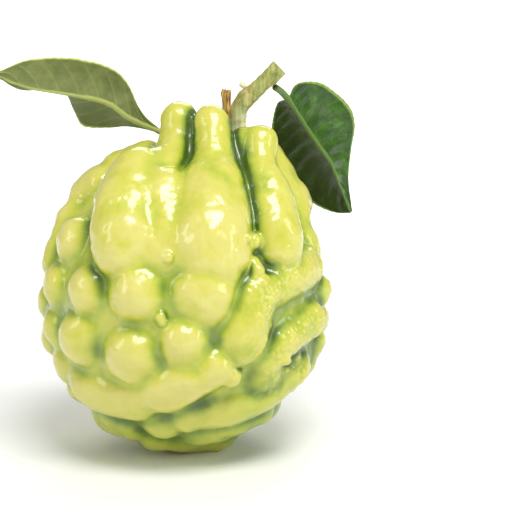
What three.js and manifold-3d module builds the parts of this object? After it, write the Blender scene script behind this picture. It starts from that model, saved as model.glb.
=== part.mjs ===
// A bergamot orange as picked: one knobbly fruit with its calyx, the cut stalk, a dried side stub, a bud
// and two leaves. Millimetres, +Z up. The origin is on the flat of the blossom end that the fruit rests on.
import * as THREE from "three";
import { mergeVertices } from "three/addons/utils/BufferGeometryUtils.js";
import Module from "manifold-3d";

const wasm = await Module();
wasm.setup();

// ---------------------------------------------------------------- driving sizes
const FRUIT_HEART = new THREE.Vector3(0, 0, 44); // directions to the knobs are measured from here
const BODY = { centre: new THREE.Vector3(0, 0, 42), radii: new THREE.Vector3(35.5, 35, 37.5) };
const SHOULDER = { centre: new THREE.Vector3(5, 3, 64), radii: new THREE.Vector3(24, 22, 14) };
const SHOULDER_BLEND = 6; // width of the soft join of body and shoulder
const VALLEY_FILL = 2.4; // how far the valley floors stand over the body
const KNOB_BLEND = 1; // how softly one knob runs into the next
const RIND_DETAIL = 19; // icosphere subdivision of the rind
// The rind's vertices spread out from here, so that they are denser at the crown.
const MESH_HEART = new THREE.Vector3(4, -2, 58);
const RELAX_ROUNDS = 12; // how often the rind's vertices are evened out
const RELAX_REACH = 1.5; // the longest step of a vertex back to the skin
const LEAF_THICKNESS = 0.7;
const CALYX = { at: new THREE.Vector3(14.8, 3, 86.8), radius: 3.7, height: 1.4, lobes: 5, scallop: 0.1 };
const SEAT_ROOM = 1.4; // the hollow in the crown over the radius of the calyx that sits in it
const SEAT_DEPTH = 0.8; // from the underside of the calyx to the bottom of the hollow

// ---------------------------------------------------------------- knobs of the rind
// Crown fingers and the big upper lobes: chains of round nodes [x, y, z, radius].
const CROWN = [
  [
    [-1, -0.5, 92.7, 5.1],
    [-1.4, -2.5, 87.4, 5.3],
    [-3, -7, 83.1, 5.8],
    [-6.1, -12, 79.5, 7.2],
    [-9.2, -16, 75, 8.4],
  ],
  [[7.8, -6, 92.8, 4.8], [8.3, -9, 86.2, 5.4], [8.4, -13, 80, 6.8], [7.8, -17, 75, 9.2]],
  [[7.8, -17, 75, 9.2], [7.6, -23, 69.7, 10.8], [7.4, -27, 64.6, 11.4], [7.8, -29, 61, 10.6]],
  [
    [21.5, -6.5, 88, 4.4],
    [21, -10, 82, 4.7],
    [22.9, -15, 75.2, 6.4],
    [24.7, -20, 66.2, 7.6],
    [25, -21.5, 61.6, 7.4],
  ],
  [[16.5, -5, 88, 3.2], [17, -8.5, 81, 3.2]],
  [[-12, -14, 80, 7.2], [-14.4, -21, 72.7, 9], [-14.7, -26.5, 65.4, 9.6], [-14.4, -27.5, 62.2, 9]],
  [[-5.5, -19, 75, 8], [-4, -25, 67, 8.6], [-4, -28, 60.5, 8]],
  [[-11, 7, 78.5, 7.2], [-17.5, 5, 77, 6.4]],
  [[-22, 1, 74, 6.4], [-25.5, 3, 70, 6.8]],
  [[-29.5, 0, 63.5, 6.4], [-31, 6, 60, 6]],
  [[20, 6, 78, 9], [27, 4, 68, 8.5]],
  [[2, 12, 81.5, 5], [0, 15, 77, 6.5]],
  [[23, 13, 78, 5.2], [22, 17, 71, 7]],
  [[3.2, 2.6, 86, 4], [4, -1, 80, 5]],
];
// Knobs and ridges of the flanks: chains of [longitude, latitude, radius, rise]. Longitude 0 is the front
// (-Y) and grows towards +X, latitude is seen from the heart, and rise is the crest's height over the body.
const KNOBS = [
  [[-64, 29, 7, 6.8]],
  [[-84, 26, 4.8, 6], [-82, 15, 4.8, 6]],
  [[-44, 10, 7, 6.6]],
  [[-68, 8, 6.4, 6.4]],
  [[-86, -3, 6, 6]],
  [[-19, 12, 8.8, 7.2]],
  [[10, 12, 9.8, 7.5]],
  [[-48, -11, 8.6, 7.1]],
  [[-70, -11, 6, 5.8]],
  [[-86, -20, 6.2, 6]],
  [[-68, -28, 6.8, 6.1]],
  [[-21, -16, 9.2, 7]],
  [[2, -9, 7.8, 6.8]],
  [[-53, -34, 7.6, 6.7], [-38, -37, 8, 6.9], [-24, -36, 8, 7]],
  [[-8, -31, 7.6, 7.2], [4, -24, 7, 7.5], [13, -19, 6, 7.4]],
  [[4, -45, 6.2, 6], [24, -42, 6.6, 6.4], [43, -38, 6, 6.2], [57, -31, 5.6, 6]],
  [[33, 12, 5, 6.6], [30, 3, 6.8, 7.3], [26, -8, 7.6, 7.5]],
  [[38, 10, 4.8, 6.2], [52, 14, 6, 6.8], [71, 15, 5.6, 6.5]],
  [[39, -18, 5, 6], [49, -11, 5.8, 6.6], [66, -7, 6, 6.5]],
  [[40, -27, 5.8, 5.8]],
  [[64, -27, 5.4, 5.7]],
  [[82, 22, 5, 5.6]],
  [[82, 2, 5, 5.8]],
  [[80, -20, 4.8, 5.6]],
  [[92, 40, 4.8, 5.4], [80, 28, 4.8, 5.4]],
  [[63, 38, 4.4, 4.8], [56, 26, 4.8, 5.2]],
  [[11, -60, 6.6, 5.2], [33, -57, 6, 5.4], [52, -50, 5.6, 5.4]],
  [[-14, -53, 6.6, 5.4]],
  [[-66, -56, 6.6, 6.6], [-42, -56, 6.2, 6]],
  [[-80, -42, 5.8, 5.8]],
  [[-30, -68, 6.6, 6]],
  [[-95, -60, 6.6, 6.6]],
  // the far side
  [[-106, 38, 5.6, 5.8]],
  [[-128, 42, 6.5, 6], [-150, 37, 6.2, 6]],
  [[-176, 42, 6.8, 6]],
  [[157, 37, 6, 6]],
  [[134, 44, 6.4, 6], [118, 38, 5.4, 5.8]],
  [[-106, 14, 6, 6]],
  [[-131, 18, 6.8, 6.2]],
  [[-154, 11, 6.4, 6], [-170, 14, 6.4, 6]],
  [[170, 14, 6.4, 6.2]],
  [[148, 12, 6.2, 6]],
  [[126, 16, 6.6, 6.2], [108, 12, 5.6, 5.8]],
  [[-104, -10, 5.6, 5.8]],
  [[-126, -8, 6.4, 6.2]],
  [[-148, -14, 6.8, 6.2]],
  [[-170, -9, 6.4, 6]],
  [[166, -12, 6.8, 6.2]],
  [[142, -11, 6.2, 6]],
  [[119, -9, 6.4, 6]],
  [[97, -14, 5.8, 5.8]],
  [[-98, -34, 5.6, 5.4]],
  [[-120, -32, 6.2, 5.8]],
  [[-144, -38, 6.4, 5.8], [-164, -33, 6, 5.8]],
  [[170, -36, 6.6, 5.8]],
  [[146, -34, 6.2, 5.8]],
  [[121, -31, 6, 5.6]],
  [[96, -36, 5.6, 5.4], [80, -30, 5, 5.2]],
  [[-104, -60, 6, 5]],
  [[-145, -61, 6.2, 5.2]],
  [[178, -58, 6.4, 5.2]],
  [[138, -60, 6, 5.2]],
  [[98, -58, 6, 5], [76, -54, 5, 5]],
  [[-122, 62, 6.6, 5]],
  [[-166, 60, 7, 5]],
  [[152, 62, 7, 5]],
  [[116, 60, 6.5, 5]],
];
// The blossom end: a broad pad with knobs round it, all pressed flat where the fruit stands.
const FEET = [
  [[0, -90, 18, 7.2]],
  [[-8, -76, 8, 6.4]],
  [[58, -75, 7.5, 6.2]],
  [[128, -76, 8, 6.4]],
  [[-162, -75, 7.5, 6.2]],
  [[-88, -76, 8, 6.4]],
];
// ---------------------------------------------------------------- distances to round shapes
const length = Math.hypot;

function ellipsoidDistance(p, { centre, radii }) {
  const [x, y, z] = [p.x - centre.x, p.y - centre.y, p.z - centre.z];
  const near = length(x / radii.x, y / radii.y, z / radii.z);
  const slope = length(x / radii.x ** 2, y / radii.y ** 2, z / radii.z ** 2);
  return (near * (near - 1)) / Math.max(slope, 1e-9);
}

function bodyDistance(p) {
  const body = ellipsoidDistance(p, BODY);
  const shoulder = ellipsoidDistance(p, SHOULDER);
  const share = THREE.MathUtils.clamp(0.5 + (0.5 * (shoulder - body)) / SHOULDER_BLEND, 0, 1);
  return THREE.MathUtils.lerp(shoulder, body, share) - SHOULDER_BLEND * share * (1 - share);
}

// A cone with round ends, from node a to node b, each { at, radius }.
function coneDistance(p, a, b) {
  const axis = new THREE.Vector3().subVectors(b.at, a.at);
  const fromA = new THREE.Vector3().subVectors(p, a.at);
  const span = axis.length();
  const slope = (a.radius - b.radius) / Math.max(span, 1e-6);
  if (Math.abs(slope) >= 0.999) return Math.min(fromA.length() - a.radius, p.distanceTo(b.at) - b.radius);
  const along = fromA.dot(axis) / Math.max(span, 1e-6);
  const off = Math.sqrt(Math.max(fromA.lengthSq() - along * along, 0));
  const foot = THREE.MathUtils.clamp(along - (off * slope) / Math.sqrt(1 - slope * slope), 0, span);
  return length(along - foot, off) - (a.radius - slope * foot);
}

// The least of several distances, with soft valleys between the shapes.
function softLeast(distances, blend) {
  const least = Math.min(...distances);
  const sum = distances.reduce((total, d) => total + Math.exp((least - d) / blend), 0);
  return least - blend * Math.log(sum);
}

function direction(longitude, latitude) {
  const [lon, lat] = [THREE.MathUtils.degToRad(longitude), THREE.MathUtils.degToRad(latitude)];
  return new THREE.Vector3(Math.sin(lon) * Math.cos(lat), -Math.cos(lon) * Math.cos(lat), Math.sin(lat));
}

// How far along a ray the given distance function reaches zero, coming from outside.
function reach(from, way, distance) {
  const FAR = 75;
  const STEPS = 90;
  let along = FAR;
  for (let i = 0; i < STEPS; i++) {
    const d = distance(from.clone().addScaledVector(way, along));
    if (d < 0.002) break;
    along -= d * 0.85;
  }
  return along;
}

function knobNodes(chain) {
  return chain.map(([longitude, latitude, radius, rise]) => {
    const way = direction(longitude, latitude);
    const crest = reach(FRUIT_HEART, way, bodyDistance) + rise;
    return { at: FRUIT_HEART.clone().addScaledVector(way, crest - radius), radius };
  });
}

function crownNodes(chain) {
  return chain.map(([x, y, z, radius]) => ({ at: new THREE.Vector3(x, y, z), radius }));
}

// Adds nodes on a smooth curve between the given ones.
function smoothed(nodes) {
  const PER_SPAN = 3;
  if (nodes.length < 2) return [nodes[0], nodes[0]];
  const path = new THREE.CatmullRomCurve3(nodes.map((n) => n.at), false, "catmullrom", 0.5);
  const last = nodes.length - 1;
  return Array.from({ length: last * PER_SPAN + 1 }, (_, i) => {
    const share = i / (last * PER_SPAN);
    const span = Math.min(Math.floor(share * last), last - 1);
    const radius = THREE.MathUtils.lerp(nodes[span].radius, nodes[span + 1].radius, share * last - span);
    return { at: path.getPoint(share), radius };
  });
}

function chainDistance(p, nodes) {
  let least = Infinity;
  for (let i = 1; i < nodes.length; i++) least = Math.min(least, coneDistance(p, nodes[i - 1], nodes[i]));
  return least;
}

// ---------------------------------------------------------------- fruit
const lobes = [...CROWN.map(crownNodes), ...[...KNOBS, ...FEET].map(knobNodes)].map(smoothed);

function rindDistance(p) {
  const knobs = lobes.map((lobe) => chainDistance(p, lobe));
  const flesh = softLeast([bodyDistance(p) - VALLEY_FILL, ...knobs], KNOB_BLEND);
  const offAxis = length(p.x - CALYX.at.x, p.y - CALYX.at.y);
  const seat = Math.max(offAxis - CALYX.radius * SEAT_ROOM, CALYX.at.z - SEAT_DEPTH - p.z);
  return Math.max(flesh, -seat, -p.z);
}

function weldedPositions(geometry) {
  geometry.deleteAttribute("normal");
  geometry.deleteAttribute("uv");
  return mergeVertices(geometry, 1e-4);
}

function rindSlope(p) {
  const STEP = 0.05;
  const here = rindDistance(p);
  const ahead = (x, y, z) => rindDistance(new THREE.Vector3(p.x + x, p.y + y, p.z + z)) - here;
  const slope = new THREE.Vector3(ahead(STEP, 0, 0), ahead(0, STEP, 0), ahead(0, 0, STEP));
  return { here, slope: slope.divideScalar(STEP) };
}

// Slides the vertices along the skin until its triangles are of even size, then settles them on it again.
// Each vertex moves towards the larger of the triangles round it.
function evenOut(points, index) {
  const corner = new THREE.Triangle();
  for (let round = 0; round < RELAX_ROUNDS; round++) {
    const pulls = points.map(() => ({ sum: new THREE.Vector3(), weight: 0 }));
    for (let i = 0; i < index.length; i += 3) {
      const ids = [index[i], index[i + 1], index[i + 2]];
      corner.set(...ids.map((id) => points[id]));
      const area = corner.getArea();
      const middle = corner.getMidpoint(new THREE.Vector3());
      for (const id of ids) {
        pulls[id].sum.addScaledVector(middle, area);
        pulls[id].weight += area;
      }
    }
    points.forEach((p, i) => {
      p.copy(pulls[i].sum.divideScalar(pulls[i].weight));
      const { here, slope } = rindSlope(p);
      const step = -here / Math.max(slope.lengthSq(), 0.25);
      p.addScaledVector(slope, THREE.MathUtils.clamp(step, -RELAX_REACH, RELAX_REACH));
    });
  }
}

function fruitGeometry() {
  const SNAP = 0.15;
  const geometry = weldedPositions(new THREE.IcosahedronGeometry(1, RIND_DETAIL));
  const position = geometry.getAttribute("position");
  const points = Array.from({ length: position.count }, (_, i) => {
    const way = new THREE.Vector3().fromBufferAttribute(position, i).normalize();
    return MESH_HEART.clone().addScaledVector(way, reach(MESH_HEART, way, rindDistance));
  });
  evenOut(points, geometry.index.array);
  points.forEach(({ x, y, z }, i) => position.setXYZ(i, x, y, z < SNAP ? 0 : z));
  return geometry;
}

// ---------------------------------------------------------------- lofted shoots
// A closed round bar: profile is a list of [share of the way, radius], bent along a curve through points.
function shootGeometry(points, profile, sides = 14) {
  const path = new THREE.CatmullRomCurve3(points.map((p) => new THREE.Vector3(...p)));
  const outline = profile.map(([share, radius]) => new THREE.Vector2(radius, share));
  const bar = weldedPositions(
    new THREE.LatheGeometry(
      [new THREE.Vector2(0, outline[0].y), ...outline, new THREE.Vector2(0, 1)],
      sides,
    ),
  );
  const position = bar.getAttribute("position");
  for (let i = 0; i < position.count; i++) {
    const share = position.getY(i);
    const along = path.getTangentAt(share);
    const side = new THREE.Vector3(0, 1, 0).cross(along).normalize();
    const front = side.clone().cross(along);
    const place = path
      .getPointAt(share)
      .addScaledVector(side, position.getX(i))
      .addScaledVector(front, position.getZ(i));
    position.setXYZ(i, place.x, place.y, place.z);
  }
  return bar;
}

const STALK_PATH = [
  [14.8, 3, 88.5], [14.7, 2.8, 92.2], [15.8, 2.8, 96.4], [21, 3.2, 101.6], [26.4, 4, 106.6],
];
const STALK_PROFILE = [[0, 2.7], [0.1, 2.5], [0.3, 2.4], [0.5, 2.35], [0.7, 2.1], [0.92, 2.25], [1, 2.35]];
const STUB_PATH = [[11.6, 0.2, 93.4], [11.8, 0, 96.4], [11.6, -0.2, 100.4]];
const STUB_PROFILE = [[0, 1.1], [0.2, 1.3], [0.7, 1.35], [1, 1.6]];
const BUD = { at: [16.2, 2.6, 102], radii: [1, 0.8, 1.1] };

function calyxGeometry() {
  const { radius, height, lobes: count, scallop } = CALYX;
  const outline = [[0, 0], [0.7, 0], [1, 0.35], [0.9, 0.8], [0.45, 1], [0, 1]];
  const disc = weldedPositions(
    new THREE.LatheGeometry(outline.map(([r, h]) => new THREE.Vector2(r * radius, h * height)), 40),
  );
  const position = disc.getAttribute("position");
  for (let i = 0; i < position.count; i++) {
    const [x, y, z] = [position.getX(i), position.getY(i), position.getZ(i)];
    const wave = 1 + scallop * Math.cos(count * Math.atan2(z, x)) * (length(x, z) / radius);
    position.setXYZ(i, CALYX.at.x + x * wave, CALYX.at.y - z * wave, CALYX.at.z + y);
  }
  return disc;
}

// ---------------------------------------------------------------- leaves
// A leaf is a midrib and the two margins of its blade, each from the base to the tip. bulge is how far each
// half stands out of the straight line from midrib to margin, as a share of its width.
const LEFT_LEAF = {
  petiole: [[11.6, 6.4, 91.4], [5, 9.8, 91.2], [-1, 10.6, 89]],
  midrib: [
    [-6, 9.6, 87.4], [-15.4, 9, 91.6], [-21.6, 8.5, 96], [-30, 6.5, 98.3], [-42.8, 3, 101],
    [-51.7, 0, 105.2],
  ],
  upper: [
    [-6.4, 9.6, 88.2], [-11.5, 8.5, 93.1], [-15.7, 7, 101.8], [-19.9, 5.5, 106.2], [-27.4, 3.5, 108.8],
    [-33.6, 2, 109.7], [-42.8, 0.5, 109.1], [-48.7, -0.5, 106.8], [-51.9, 0, 105.6],
  ],
  lower: [
    [-6.4, 10.4, 87.2], [-14.7, 13, 88.7], [-21.4, 15, 88.1], [-27, 15, 88.1],
    [-29.7, 14, 89.4], [-31.5, 12.5, 94.1], [-32.7, 11, 98], [-35.3, 9.5, 100.5],
    [-40.6, 7, 100.5], [-45.9, 4, 100.6], [-51.4, 0.8, 104.7],
  ],
  bulge: [0.08, 0.1],
};
const RIGHT_LEAF = {
  petiole: [[25.2, 5.6, 100.9], [27, 8.4, 99.2]],
  midrib: [
    [28.8, 10, 97.1], [31.6, 13, 92.5], [34.4, 16, 87.8], [38.1, 18, 82], [41.4, 20, 77], [44, 22, 70.5],
    [47.3, 24, 62.1],
  ],
  upper: [
    [29.3, 10.8, 97.4], [30.6, 14, 100.2], [33.6, 17, 101], [38.1, 21, 100.2], [41.4, 24, 97.9],
    [45.1, 26, 94.6], [47.6, 27, 90.9], [48.4, 28, 86.7], [47.6, 28, 81], [47, 27, 75.5], [46.8, 26, 70],
    [47.5, 24.2, 62.5],
  ],
  lower: [
    [28.2, 10.8, 96.7], [25.8, 15, 95], [24.4, 20.5, 88], [24.6, 25.5, 80], [26.6, 29.5, 72],
    [30.5, 31, 67.8], [34.4, 31, 65], [38.4, 29, 62.8], [42.6, 27, 61.5], [46.9, 24.3, 61.8],
  ],
  bulge: [-0.1, -0.1],
};
const RIB_PROFILE = [[0, 0.95], [0.25, 0.95], [0.6, 0.7], [0.9, 0.45], [1, 0.3]]; // petiole, then midrib
const RIB_SIDES = 8;
const BLADE_STEPS = 24; // along the midrib
const HALF_STEPS = 5; // from the midrib to the margin

function curveThrough(points) {
  return new THREE.CatmullRomCurve3(points.map((p) => new THREE.Vector3(...p)));
}

// The blade as one grid of points, a row per step along the midrib, from the lower to the upper margin.
function bladeSheet(leaf) {
  const midrib = curveThrough(leaf.midrib);
  const margins = [curveThrough(leaf.lower), curveThrough(leaf.upper)];
  const sheet = [];
  for (let i = 0; i <= BLADE_STEPS; i++) {
    const along = i / BLADE_STEPS;
    const middle = midrib.getPointAt(along);
    const tangent = midrib.getTangentAt(along);
    for (let j = -HALF_STEPS; j <= HALF_STEPS; j++) {
      const half = j < 0 ? 0 : 1;
      const across = Math.abs(j) / HALF_STEPS;
      const out = margins[half].getPointAt(along).sub(middle);
      const face = new THREE.Vector3().crossVectors(tangent, out).multiplyScalar(half === 0 ? -1 : 1);
      const bow = leaf.bulge[half] * 4 * across * (1 - across);
      sheet.push(middle.clone().addScaledVector(out, across).addScaledVector(face, bow));
    }
  }
  return sheet;
}

// The blade as a closed solid: the grid offset to both sides along its normals, with a rim between them.
function bladeGeometry(leaf) {
  const sheet = bladeSheet(leaf);
  const columns = 2 * HALF_STEPS + 1;
  const at = (i, j) => i * columns + j;
  const faces = [];
  for (let i = 0; i < BLADE_STEPS; i++)
    for (let j = 0; j < columns - 1; j++)
      faces.push([at(i, j), at(i, j + 1), at(i + 1, j + 1)], [at(i, j), at(i + 1, j + 1), at(i + 1, j)]);
  const middle = new THREE.BufferGeometry().setFromPoints(sheet).setIndex(faces.flat());
  middle.computeVertexNormals();
  const normal = middle.getAttribute("normal");
  const shifted = (share) =>
    sheet.map((p, i) => {
      const away = new THREE.Vector3().fromBufferAttribute(normal, i);
      return p.clone().addScaledVector(away, share * LEAF_THICKNESS);
    });
  const count = sheet.length;
  const last = columns - 1;
  const rim = [
    ...Array.from({ length: last }, (_, j) => at(0, j)),
    ...Array.from({ length: BLADE_STEPS }, (_, i) => at(i, last)),
    ...Array.from({ length: last }, (_, j) => at(BLADE_STEPS, last - j)),
    ...Array.from({ length: BLADE_STEPS }, (_, i) => at(BLADE_STEPS - i, 0)),
  ];
  const skirt = rim.flatMap((a, k) => {
    const b = rim[(k + 1) % rim.length];
    return [b, a, a + count, b, a + count, b + count];
  });
  const under = faces.flatMap(([a, b, c]) => [a + count, c + count, b + count]);
  return new THREE.BufferGeometry()
    .setFromPoints([...shifted(0.5), ...shifted(-0.5)])
    .setIndex([...faces.flat(), ...skirt, ...under]);
}

function solid(geometry) {
  const welded = mergeVertices(geometry, 1e-4);
  return new wasm.Manifold(
    new wasm.Mesh({
      numProp: 3,
      vertProperties: welded.getAttribute("position").array,
      triVerts: new Uint32Array(welded.index.array),
    }),
  );
}

function geometryOf(manifold) {
  const { vertProperties, triVerts } = manifold.getMesh();
  return new THREE.BufferGeometry()
    .setAttribute("position", new THREE.BufferAttribute(vertProperties, 3))
    .setIndex(new THREE.BufferAttribute(triVerts, 1));
}

function leafGeometry(leaf) {
  const path = [...leaf.petiole, ...leaf.midrib];
  const rib = shootGeometry(path, RIB_PROFILE, RIB_SIDES);
  return geometryOf(solid(bladeGeometry(leaf)).add(solid(rib)));
}

// ---------------------------------------------------------------- assembly
const bergamot = new THREE.Group();

function piece(name, geometry, color, roughness) {
  const mesh = new THREE.Mesh(geometry, new THREE.MeshStandardMaterial({ color, roughness, metalness: 0 }));
  mesh.name = name;
  bergamot.add(mesh);
  return mesh;
}

piece("fruit", fruitGeometry(), "#dcdc6e", 0.3);
piece("calyx", calyxGeometry(), "#8f9a4a", 0.6);
piece("stalk", shootGeometry(STALK_PATH, STALK_PROFILE), "#b9bf6a", 0.5);
piece("dried_stub", shootGeometry(STUB_PATH, STUB_PROFILE, 10), "#a8823c", 0.8);
const bud = piece("bud", new THREE.SphereGeometry(1, 10, 8), "#c9c878", 0.5);
bud.position.set(...BUD.at);
bud.scale.set(...BUD.radii);
piece("left_leaf", leafGeometry(LEFT_LEAF), "#8d9a58", 0.5);
piece("right_leaf", leafGeometry(RIGHT_LEAF), "#3f6a28", 0.4);

export default bergamot;
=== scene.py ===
# %% [markdown]
# # A bergamot orange, as picked
# A bergamot is a small sour citrus fruit. Its rind is waxy and thick and grows in knobs, ridges and, round
# the stalk, stubby fingers. This lesson builds the whole fruit, with its stalk and two leaves, round a
# plain model of the same size. Everything is in metres, and the fruit stands on z = 0 at the origin.

# %% Load the plain model
import math

import bmesh
import bpy
import numpy as np
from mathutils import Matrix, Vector, noise


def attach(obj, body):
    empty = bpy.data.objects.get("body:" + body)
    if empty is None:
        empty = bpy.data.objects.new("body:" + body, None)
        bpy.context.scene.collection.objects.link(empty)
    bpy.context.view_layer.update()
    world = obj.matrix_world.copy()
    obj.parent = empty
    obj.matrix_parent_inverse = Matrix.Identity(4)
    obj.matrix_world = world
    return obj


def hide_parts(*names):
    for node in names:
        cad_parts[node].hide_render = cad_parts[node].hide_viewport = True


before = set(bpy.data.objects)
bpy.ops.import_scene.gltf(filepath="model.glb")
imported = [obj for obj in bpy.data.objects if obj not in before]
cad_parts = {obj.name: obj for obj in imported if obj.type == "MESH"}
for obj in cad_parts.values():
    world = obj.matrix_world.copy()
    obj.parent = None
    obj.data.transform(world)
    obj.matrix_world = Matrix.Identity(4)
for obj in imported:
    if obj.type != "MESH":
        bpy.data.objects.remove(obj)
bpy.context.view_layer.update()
MM = 0.001

# %% [markdown]
# ## Camera, floor and light
# The fruit is seen from a little above the table, from 0.6 m away. A long lens keeps its shape undistorted.
# Waxy rind shows its form by its highlights, so the lights are large soft panels, like windows: one above
# and in front, one at the left, one behind for the rims. The surroundings are nearly white, which also
# brightens the undersides of the knobs by reflection.

# %% Camera
ELEVATION = math.radians(12)
DISTANCE = 0.6
VIEW_WIDTH = 0.28 * MM * 512
SENSOR = 36.0
toward = Vector((0, math.cos(ELEVATION), -math.sin(ELEVATION)))
upward = Vector((0, math.sin(ELEVATION), math.cos(ELEVATION)))
aim = Vector((0, 0, 0.044)) + Vector((1, 0, 0)) * 0.01988 + upward * 0.01008
camera = bpy.data.objects.new("camera", bpy.data.cameras.new("camera"))
camera.data.sensor_width = SENSOR
camera.data.lens = SENSOR * DISTANCE / VIEW_WIDTH
camera.data.clip_start = 0.01
camera.location = aim - toward * DISTANCE
camera.rotation_euler = toward.to_track_quat("-Z", "Y").to_euler()
bpy.context.collection.objects.link(camera)
bpy.context.scene.camera = camera
bpy.context.scene.view_settings.view_transform = "Standard"
print("lens", round(camera.data.lens, 1), "mm")

# %% Helpers for colour and nodes
def linear(hex_colour):
    """An sRGB hex colour as linear RGBA."""
    parts = [int(hex_colour[i:i + 2], 16) / 255 for i in (1, 3, 5)]
    return [p / 12.92 if p <= 0.04045 else ((p + 0.055) / 1.055) ** 2.4 for p in parts] + [1.0]


def node(tree, kind, inputs=None, stops=None, **settings):
    """Adds a node. inputs maps a socket's name or number to a value or to the socket that feeds it."""
    made = tree.nodes.new(kind)
    for name, value in settings.items():
        setattr(made, name, value)
    if stops:
        ramp = made.color_ramp
        while len(ramp.elements) < len(stops):
            ramp.elements.new(1.0)
        for element, (place, colour) in zip(ramp.elements, stops):
            element.position = place
            element.color = linear(colour) if isinstance(colour, str) else [colour] * 3 + [1.0]
    for key, value in (inputs or {}).items():
        if isinstance(value, bpy.types.NodeSocket):
            tree.links.new(value, made.inputs[key])
        else:
            made.inputs[key].default_value = linear(value) if isinstance(value, str) else value
    return made


def new_material(name):
    """A material with an empty principled shader, as (material, tree, shader)."""
    made = bpy.data.materials.new(name)
    made.use_nodes = True
    made.node_tree.nodes.clear()
    shader = node(made.node_tree, "ShaderNodeBsdfPrincipled")
    node(made.node_tree, "ShaderNodeOutputMaterial", {"Surface": shader.outputs[0]})
    return made, made.node_tree, shader


# %% Floor and surroundings
FLOOR_SIZE = 6.0
floor_mesh = bpy.data.meshes.new("floor")
half = FLOOR_SIZE / 2
floor_mesh.from_pydata(
    [(-half, -half, 0), (half, -half, 0), (half, half, 0), (-half, half, 0)], [], [(0, 1, 2, 3)],
)
floor = bpy.data.objects.new("floor", floor_mesh)
bpy.context.collection.objects.link(floor)
floor_paint, tree, shader = new_material("matte_white_paper")
shader.inputs["Base Color"].default_value = linear("#f7f7f5")
shader.inputs["Roughness"].default_value = 0.6
spot = node(tree, "ShaderNodeTexCoord").outputs["Object"]
away = node(tree, "ShaderNodeVectorMath", {0: spot}, operation="LENGTH").outputs["Value"]
glow = node(
    tree, "ShaderNodeMapRange", {"Value": away, "From Min": 0.05, "From Max": 0.7, "To Max": 0.75},
).outputs[0]
shader.inputs["Emission Color"].default_value = (1, 1, 1, 1)
tree.links.new(glow, shader.inputs["Emission Strength"])
floor.data.materials.append(floor_paint)

world = bpy.data.worlds.new("white_studio")
world.use_nodes = True
world.node_tree.nodes["Background"].inputs["Color"].default_value = (1, 1, 1, 1)
world.node_tree.nodes["Background"].inputs["Strength"].default_value = 0.4
bpy.context.scene.world = world

# %% Lamps
def panel_light(name, place, size, watts, target=(0, 0, 0.05)):
    """A soft rectangular lamp at place, in metres, that faces the fruit."""
    lamp = bpy.data.objects.new(name, bpy.data.lights.new(name, "AREA"))
    lamp.data.shape = "RECTANGLE"
    lamp.data.size, lamp.data.size_y = size
    lamp.data.energy = watts
    lamp.location = place
    lamp.rotation_euler = (Vector(target) - Vector(place)).to_track_quat("-Z", "Y").to_euler()
    bpy.context.collection.objects.link(lamp)


panel_light("key_window", (0.16, -0.36, 0.72), (0.40, 0.30), 4.8)
panel_light("left_window", (-0.75, -0.35, 0.45), (0.25, 0.5), 1.4)
panel_light("right_window", (0.75, -0.25, 0.35), (0.2, 0.45), 1.3)
panel_light("rim_window", (0.1, 0.7, 0.6), (0.6, 0.3), 2.0)

# %% [markdown]
# ## The fruit's shape
# The rind grows outwards in round swellings that press on each other, so valleys between them are creased
# and the crests are smooth. A sculpted mesh could copy that, but a rule is shorter: each swelling is a
# chain of balls of changing size, a distance function says how far a point is from the nearest one, and a
# soft minimum joins them with tight creases. A mesh is then laid on the place where that distance is zero.

# %% The body under the knobs, in millimetres
HEART = np.array([0.0, 0.0, 44.0])
BODY = (np.array([0, 0, 42.0]), np.array([35.5, 35, 37.5]))
SHOULDER = (np.array([5.0, 3, 64]), np.array([24.0, 22, 14]))
SHOULDER_BLEND = 6.0
VALLEY_FILL = 2.4 # how far the valley floors stand over the body
KNOB_BLEND = 0.8
WART_BLEND = 0.4


def ellipsoid_distance(p, centre, radii):
    q = p - centre
    near = np.linalg.norm(q / radii, axis=-1)
    slope = np.linalg.norm(q / radii ** 2, axis=-1)
    return near * (near - 1) / np.maximum(slope, 1e-9)


def body_distance(p):
    body, shoulder = ellipsoid_distance(p, *BODY), ellipsoid_distance(p, *SHOULDER)
    share = np.clip(0.5 + 0.5 * (shoulder - body) / SHOULDER_BLEND, 0, 1)
    return shoulder + (body - shoulder) * share - SHOULDER_BLEND * share * (1 - share)


def cone_distance(p, a, b):
    """Distance to a cone with round ends; a and b are (x, y, z, radius)."""
    axis = b[:3] - a[:3]
    span = np.linalg.norm(axis)
    from_a = p - a[:3]
    slope = (a[3] - b[3]) / max(span, 1e-6)
    if abs(slope) > 0.999:
        return np.minimum(np.linalg.norm(from_a, axis=-1) - a[3], np.linalg.norm(p - b[:3], axis=-1) - b[3])
    along = from_a @ axis / max(span, 1e-6)
    off = np.sqrt(np.maximum((from_a ** 2).sum(-1) - along ** 2, 0))
    foot = np.clip(along - off * slope / math.sqrt(1 - slope * slope), 0, span)
    return np.hypot(along - foot, off) - (a[3] - slope * foot)


# %% [markdown]
# ## Where the knobs are
# Crown fingers are given as chains of x, y, z, radius. Knobs on the flanks are easier to think of by
# direction: longitude (0 is the front and grows to the right), latitude, radius, and how far the crest
# stands over the body. The front has large smooth knobs and one long ridge, the right side narrower rough
# ridges, and the back regular rows of knobs.

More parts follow.
